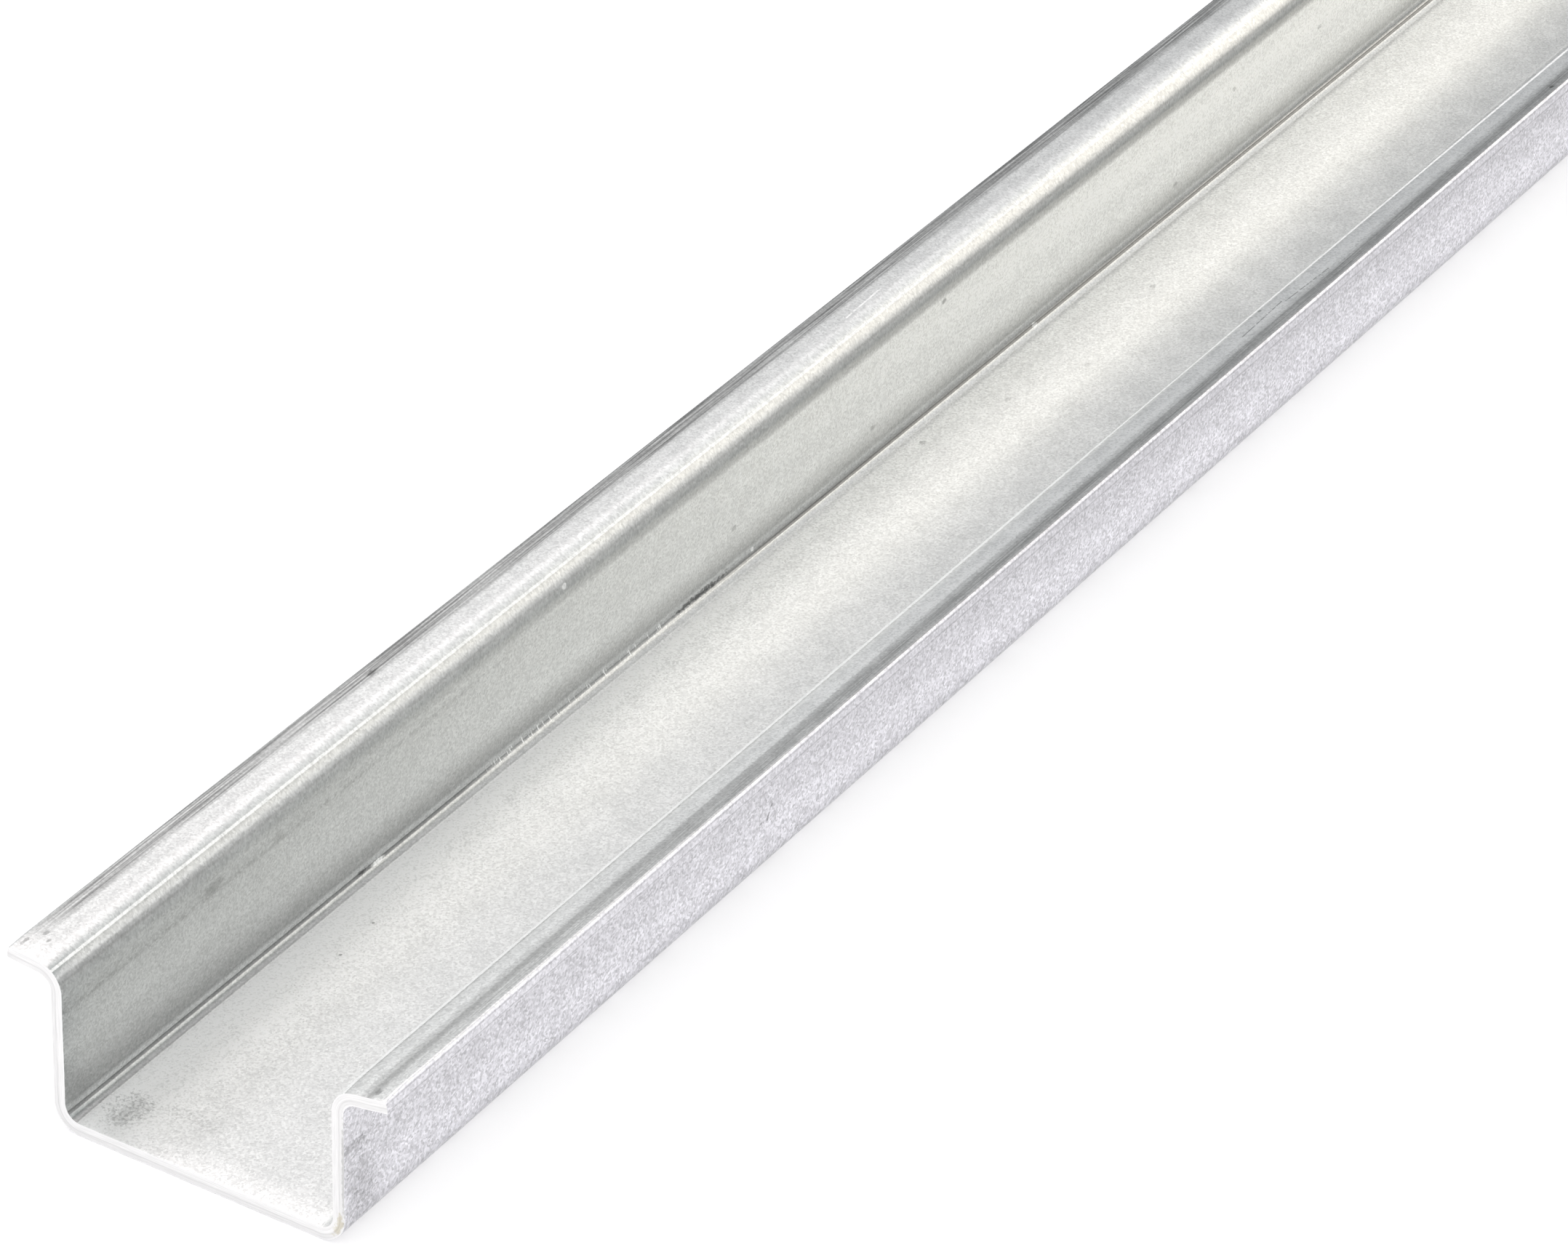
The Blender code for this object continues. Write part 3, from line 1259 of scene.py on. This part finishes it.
@dataclass
class DressedRail:
    """The whole rail: a folded strip with its thickness, slit edges and cut ends.

    Its flats are the web, the walls and the flanges. Each has a width that only it and the wider
    ones pass, and the number of parts that it is divided into.
    """

    length: float = 0.500
    left: HatHalf = HatHalf(Side.LEFT, math.radians(4.5))
    right: HatHalf = HatHalf(Side.RIGHT, math.radians(10.0))
    bend_segments: int = 14
    flats: tuple[tuple[float, int], ...] = ((0.015, 40), (0.008, 18), (0.002, 6))
    close_rings: int = 12
    near_rings: int = 9
    near_spacing: float = 0.005
    far_start: float = 0.05
    far_rings: int = 18
    far_spacing: float = 0.0225
    skew_from: float = 0.0175
    skew_across: float = 0.0145
    skew_up: float = 0.0128
    skew_reach: float = 0.040
    shear_sink: float = 0.00013
    shear_reach: float = 0.0032
    ragged_depth: float = 0.00007
    ragged_per_metre: float = 1100.0
    breaks: tuple[EdgeBreak, ...] = (
        EdgeBreak(Surface.INSIDE, Surface.SLIT_EDGE, width=0.00028, segments=5),
        EdgeBreak(Surface.OUTSIDE, Surface.SLIT_EDGE, width=0.00010, segments=3),
        EdgeBreak(Surface.CUT_END, Surface.INSIDE, width=0.00008, segments=2),
        EdgeBreak(Surface.CUT_END, Surface.OUTSIDE, width=0.00008, segments=2),
    )
    end_facing: float = 0.5
    smooth_angle: float = math.radians(35.0)
    merge: float = 0.000001

    @property
    def near_x(self) -> float:
        """X of the near cut end."""
        return -self.length / 2

    def stations(self) -> list[float]:
        """Choose where the strip gets an extra ring of vertices.

        Returns:
            Distances from the near cut end.
        """
        close = [self.shear_reach * step / self.close_rings for step in range(1, self.close_rings + 1)]
        near = [self.near_spacing * step for step in range(1, self.near_rings + 1)]
        far = [self.far_start + self.far_spacing * step for step in range(self.far_rings)]
        return close + near + far + [self.length - station for station in reversed(close)]

    def half_of(self, y: float) -> HatHalf:
        """The half of the section that a point is on."""
        return self.left if y >= 0 else self.right

    def folded_strip(self) -> bmesh.types.BMesh:
        """Fold the strip along four bends, and divide it for its details.

        Returns:
            The strip's middle surface.
        """
        strip = bmesh.new()
        path = list(reversed(self.right.corners())) + self.left.corners()
        corners = [strip.verts.new((self.near_x, y, z)) for y, z in path]
        edges = [strip.edges.new(pair) for pair in zip(corners, corners[1:])]
        sweep = bmesh.ops.extrude_edge_only(strip, edges=edges)
        far_end = [item for item in sweep["geom"] if isinstance(item, bmesh.types.BMVert)]
        bmesh.ops.translate(strip, verts=far_end, vec=(self.length, 0.0, 0.0))
        for half in (self.left, self.right):
            wall, fold, _ = half.corners()
            self.round_fold(strip, wall, half.web_setback)
            self.round_fold(strip, fold, half.flange_setback)
        self.divide_flats(strip)
        for station in self.stations():
            bmesh.ops.bisect_plane(
                strip,
                geom=strip.verts[:] + strip.edges[:] + strip.faces[:],
                dist=self.merge,
                plane_co=(self.near_x + station, 0.0, 0.0),
                plane_no=(1.0, 0.0, 0.0),
            )
        bmesh.ops.recalc_face_normals(strip, faces=strip.faces)
        middles = {face: face.calc_center_median() for face in strip.faces}
        web = min(strip.faces, key=lambda face: abs(middles[face].y) + middles[face].z)
        if web.normal.z < 0:
            bmesh.ops.reverse_faces(strip, faces=strip.faces)
        return strip

    def round_fold(self, strip: bmesh.types.BMesh, fold: tuple[float, float], setback: float) -> None:
        """Turn one sharp fold line into a bend.

        Args:
            strip: the strip's middle surface.
            fold: the fold line's (y, z).
            setback: distance from the fold line to where its bend starts.
        """
        line = [
            edge for edge in strip.edges
            if all(math.hypot(v.co.y - fold[0], v.co.z - fold[1]) < self.merge for v in edge.verts)
        ]
        bmesh.ops.bevel(
            strip,
            geom=line,
            offset=setback,
            offset_type="OFFSET",
            segments=self.bend_segments,
            profile=0.5,
            affect="EDGES",
            material=-1,
        )

    def divide_flats(self, strip: bmesh.types.BMesh) -> None:
        """Divide the flats across, so that they can carry fine relief.

        Args:
            strip: the strip's middle surface.
        """
        for least, parts in self.flats:
            ends = [
                edge for edge in strip.edges
                if abs(edge.verts[0].co.x - edge.verts[1].co.x) < self.merge and edge.calc_length() > least
            ]
            bmesh.ops.subdivide_edges(strip, edges=ends, cuts=parts - 1, use_grid_fill=True)

    def thicken(self, strip: bmesh.types.BMesh) -> bmesh.types.BMesh:
        """Give the strip its thickness; its sides and rims get their material slots.

        Args:
            strip: the strip's middle surface, which is freed.

        Returns:
            The closed sheet.
        """
        mesh = bpy.data.meshes.new("strip")
        strip.to_mesh(mesh)
        strip.free()
        for surface in Surface:
            mesh.materials.append(bpy.data.materials.new(surface.name))
        folded = add_object("strip", mesh)
        solid = folded.modifiers.new("sheet_thickness", "SOLIDIFY")
        solid.thickness = self.left.sheet
        solid.offset = 0.0
        solid.use_even_offset = True
        solid.use_quality_normals = True
        solid.material_offset = Surface.OUTSIDE.value
        solid.material_offset_rim = Surface.SLIT_EDGE.value
        shape = folded.evaluated_get(bpy.context.evaluated_depsgraph_get()).to_mesh()
        sheet = bmesh.new()
        sheet.from_mesh(shape)
        bpy.data.objects.remove(folded, do_unlink=True)
        bpy.data.meshes.remove(mesh)
        for face in sheet.faces:
            if face.material_index == Surface.SLIT_EDGE.value and abs(face.normal.x) > self.end_facing:
                face.material_index = Surface.CUT_END.value
        return sheet

    def break_edges(self, sheet: bmesh.types.BMesh) -> None:
        """Round the slit edges, more on the channel's side than on the other, and the cut ends.

        Args:
            sheet: the closed sheet.
        """
        for edge_break in self.breaks:
            bmesh.ops.bevel(
                sheet,
                geom=edge_break.edges(sheet),
                offset=edge_break.width,
                offset_type="OFFSET",
                segments=edge_break.segments,
                profile=0.5,
                affect="EDGES",
                material=-1,
                clamp_overlap=True,
            )

    def strip_place(self, vert: bmesh.types.BMVert) -> Vector:
        """Find where a vertex lay on the flat strip.

        Args:
            vert: a vertex of the closed sheet.

        Returns:
            Its distance along the strip, across it and through it, in metres.
        """
        half = self.half_of(vert.co.y)
        across, through = half.locate(abs(vert.co.y), vert.co.z)
        return Vector((vert.co.x - self.near_x, half.side.value * across, through))

    def draw_down(self, sheet: bmesh.types.BMesh, places: Sequence[Vector]) -> None:
        """Draw the channel's side down beside each cut, as a shear does.

        Args:
            sheet: the closed sheet.
            places: where each of its vertices lay on the flat strip.
        """
        for vert, place in zip(sheet.verts, places):
            away = min(place.x, self.length - place.x) / self.shear_reach
            if away >= 1.0 or place.z <= 0.0:
                continue
            half = self.half_of(place.y)
            face_y, face_z = half.channel_normal(abs(place.y))
            sink = self.shear_sink * (1.0 - away) ** 2 * place.z / half.half_sheet
            vert.co.y -= half.side.value * face_y * sink
            vert.co.z -= face_z * sink

    def tear_cut(self, sheet: bmesh.types.BMesh, places: Sequence[Vector]) -> None:
        """Leave both cuts a little ragged, within the rail's length.

        Args:
            sheet: the closed sheet.
            places: where each of its vertices lay on the flat strip.
        """
        for vert, place in zip(sheet.verts, places):
            near = place.x < self.length / 2
            away = (place.x if near else self.length - place.x) / self.shear_reach
            if away >= 1.0:
                continue
            seed = Vector((place.y, place.z, 0.0 if near else 1.0)) * self.ragged_per_metre
            inward = self.ragged_depth * (0.5 + 0.5 * noise.noise(seed)) * (1.0 - away)
            vert.co.x += inward if near else -inward

    def skew_cut(self, sheet: bmesh.types.BMesh) -> None:
        """Let the near cut end run a little off square, as the photo shows.

        Args:
            sheet: the closed sheet.
        """
        for vert in sheet.verts:
            away = (vert.co.x - self.near_x) / self.skew_reach
            if away >= 1.0:
                continue
            lean = self.skew_across * (vert.co.y + self.skew_from) + self.skew_up * vert.co.z
            vert.co.x += lean * (1.0 - away) ** 2

    def build(self) -> bpy.types.Object:
        """Build the rail's mesh, with its places on the strip as an attribute.

        Returns:
            The rail, without its finishes.
        """
        sheet = self.thicken(self.folded_strip())
        self.break_edges(sheet)
        mesh = bpy.data.meshes.new("rail_sheet")
        places = [self.strip_place(vert) for vert in sheet.verts]
        self.draw_down(sheet, places)
        self.tear_cut(sheet, places)
        self.skew_cut(sheet)
        sheet.to_mesh(mesh)
        sheet.free()
        attribute = mesh.attributes.new(STRIP_ATTRIBUTE, "FLOAT_VECTOR", "POINT")
        attribute.data.foreach_set("vector", [number / MM for place in places for number in place])
        mesh.shade_smooth()
        mesh.set_sharp_from_angle(angle=self.smooth_angle)
        return add_object("rail_sheet", mesh)

    def dress(self, rail: bpy.types.Object) -> None:
        """Give each surface of the sheet its finish, and stand in for the CAD rail.

        Args:
            rail: the rail as it was built.
        """
        finishes: dict[Surface, MetalFinish] = {
            Surface.INSIDE: InsideZinc(),
            Surface.OUTSIDE: OutsideZinc(),
            Surface.SLIT_EDGE: SlitEdge(),
            Surface.CUT_END: CutEnd(),
        }
        for surface in Surface:
            rail.data.materials.append(finishes[surface].material())
        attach(rail, "root")
        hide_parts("rail")


@dataclass(frozen=True)
class Aim:
    """Where a lamp or a card stands, as seen from the middle of the stretch that the camera sees."""

    azimuth: float
    elevation: float
    distance: float
    seen_from: tuple[float, float, float] = (-0.155, 0.0, 0.005)

    def matrix(self) -> Matrix:
        """Place the lamp or the card, and turn it to face that point.

        Returns:
            The matrix that does both.
        """
        azimuth, elevation = math.radians(self.azimuth), math.radians(self.elevation)
        level = math.cos(elevation)
        way = Vector((level * math.cos(azimuth), level * math.sin(azimuth), math.sin(elevation)))
        turn = (-way).to_track_quat("-Z", "Y")
        return Matrix.Translation(Vector(self.seen_from) + way * self.distance) @ turn.to_matrix().to_4x4()


@dataclass(frozen=True)
class SoftLamp:
    """A rectangular soft lamp, hidden from the camera."""

    name: str
    aim: Aim
    width: float
    height: float
    level: float
    colour: Colour = (1.0, 1.0, 1.0)

    def build(self) -> bpy.types.Object:
        """Place the lamp; its level is the brightness of its face, where 1 is white.

        Returns:
            The lamp.
        """
        lamp = bpy.data.lights.new(self.name, "AREA")
        lamp.shape = "RECTANGLE"
        lamp.size = self.width
        lamp.size_y = self.height
        lamp.energy = self.level * math.pi * self.width * self.height
        lamp.color = self.colour
        made = add_object(self.name, lamp)
        made.matrix_world = self.aim.matrix()
        made.visible_camera = False
        return made


@dataclass(frozen=True)
class GreyCard:
    """A plain card that only the metal's reflections show."""

    name: str
    aim: Aim
    width: float
    height: float
    tone: Colour

    def build(self) -> bpy.types.Object:
        """Place the card; its tone is what a mirror would show of it.

        Returns:
            The card.
        """
        mesh = flat_mesh(self.name, self.width, self.height, self.aim.matrix())
        material, shader = new_material(self.name)
        shader["Base Color"].default_value = (0.0, 0.0, 0.0, 1.0)
        shader["Specular IOR Level"].default_value = 0.0
        shader["Emission Color"].default_value = (*self.tone, 1.0)
        shader["Emission Strength"].default_value = 1.0
        mesh.materials.append(material)
        card = add_object(self.name, mesh)
        card.visible_camera = False
        card.visible_diffuse = False
        card.visible_shadow = False
        return card


@dataclass
class Studio:
    """A white floor and surroundings, soft lamps and the camera."""

    floor_size: float = 24.0
    floor_drop: float = 0.00005
    floor_tone: float = 0.86
    floor_roughness: float = 0.9
    floor_glow: float = 0.35
    sky_level: float = 1.0
    camera_place: tuple[float, float, float] = (-0.5933, -0.2621, 0.3254)
    heading: float = math.radians(31.645)
    dip: float = math.radians(32.557)
    roll: float = math.radians(1.135)
    lens: float = 165.41
    sensor_width: float = 36.0
    clip: Range = (0.01, 100.0)

    def build_floor(self) -> bpy.types.Object:
        """Lay the floor, white to the camera and to reflections, that keeps the rail's shadow.

        Returns:
            The floor.
        """
        place = Matrix.Translation((0.0, 0.0, -self.floor_drop))
        mesh = flat_mesh("floor", self.floor_size, self.floor_size, place)
        mesh.materials.append(self.floor_material())
        floor = add_object("floor", mesh)
        return floor

    def floor_material(self) -> bpy.types.Material:
        """Make a plain white, with a little light of its own for the camera and for reflections.

        Returns:
            The material.
        """
        made, shader = new_material("floor_white")
        shader["Base Color"].default_value = (self.floor_tone,) * 3 + (1.0,)
        shader["Roughness"].default_value = self.floor_roughness
        shader["Specular IOR Level"].default_value = 0.0
        shader["Emission Color"].default_value = (1.0, 1.0, 1.0, 1.0)
        desk = NodeDesk(made.node_tree)
        desk.feed(shader["Emission Strength"], desk.product(self.seen_directly(desk), self.floor_glow))
        return made

    def seen_directly(self, desk: NodeDesk) -> Socket:
        """Tell how a surface is seen.

        Args:
            desk: the node desk of its material, or of the world.

        Returns:
            1 for the camera's rays, reflections and what is seen through glass.
        """
        path = desk.add("LightPath").outputs
        seen = desk.math("MAXIMUM", path["Is Camera Ray"], path["Is Glossy Ray"])
        return desk.math("MAXIMUM", seen, path["Is Transmission Ray"])

    def build_sky(self) -> None:
        """White surroundings: full white where they are seen, a plain level where they light."""
        world = bpy.data.worlds.new("studio")
        bpy.context.scene.world = world
        world.use_nodes = True
        desk = NodeDesk(world.node_tree)
        back = world.node_tree.nodes["Background"].inputs
        back["Color"].default_value = (1.0, 1.0, 1.0, 1.0)
        desk.feed(back["Strength"], desk.ramp(self.seen_directly(desk), 0.0, 1.0, self.sky_level, 1.0))

    def build_camera(self) -> bpy.types.Object:
        """Set up the camera at the photo's place, with its heading, dip and roll.

        Returns:
            The camera.
        """
        data = bpy.data.cameras.new("camera")
        data.lens = self.lens
        data.sensor_width = self.sensor_width
        data.clip_start, data.clip_end = self.clip
        camera = add_object("camera", data)
        turn = Matrix.Rotation(self.heading - math.pi / 2, 4, "Z")
        turn = turn @ Matrix.Rotation(math.pi / 2 - self.dip, 4, "X") @ Matrix.Rotation(self.roll, 4, "Z")
        camera.matrix_world = Matrix.Translation(self.camera_place) @ turn
        bpy.context.scene.camera = camera
        return camera

    def build(self) -> list[bpy.types.Object]:
        """Build the whole studio.

        Returns:
            The camera, the floor, the lamps and the cards.
        """
        self.build_sky()
        lit = [
            SoftLamp(
                "overhead_lamp", Aim(azimuth=40.0, elevation=66.0, distance=1.4),
                width=1.13, height=1.13, level=0.66, colour=(1.0, 0.90, 0.90),
            ),
            SoftLamp(
                "warm_lamp", Aim(azimuth=-22.5, elevation=17.5, distance=1.3),
                width=0.70, height=0.80, level=1.0, colour=(1.0, 0.90, 0.74),
            ),
            GreyCard(
                "far_card", Aim(azimuth=23.5, elevation=17.5, distance=1.3),
                width=0.84, height=0.82, tone=(0.45, 0.46, 0.47),
            ),
            GreyCard(
                "near_card", Aim(azimuth=-56.0, elevation=48.0, distance=1.0),
                width=0.74, height=0.46, tone=(0.42, 0.45, 0.45),
            ),
        ]
        return [self.build_camera(), self.build_floor()] + [item.build() for item in lit]


def main() -> None:
    """Build the rail and the studio, and report each piece."""
    logging.basicConfig(level=logging.INFO, format="%(name)s: %(message)s")
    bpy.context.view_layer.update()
    bpy.context.scene.view_settings.view_transform = "Standard"
    model = DressedRail()
    rail = model.build()
    model.dress(rail)
    triangles = sum(len(face.vertices) - 2 for face in rail.data.polygons)
    LOG.info("%s: %d triangles", rail.name, triangles)
    for piece in Studio().build():
        LOG.info("studio: %s", piece.name)


if __name__ == "__main__":
    main()
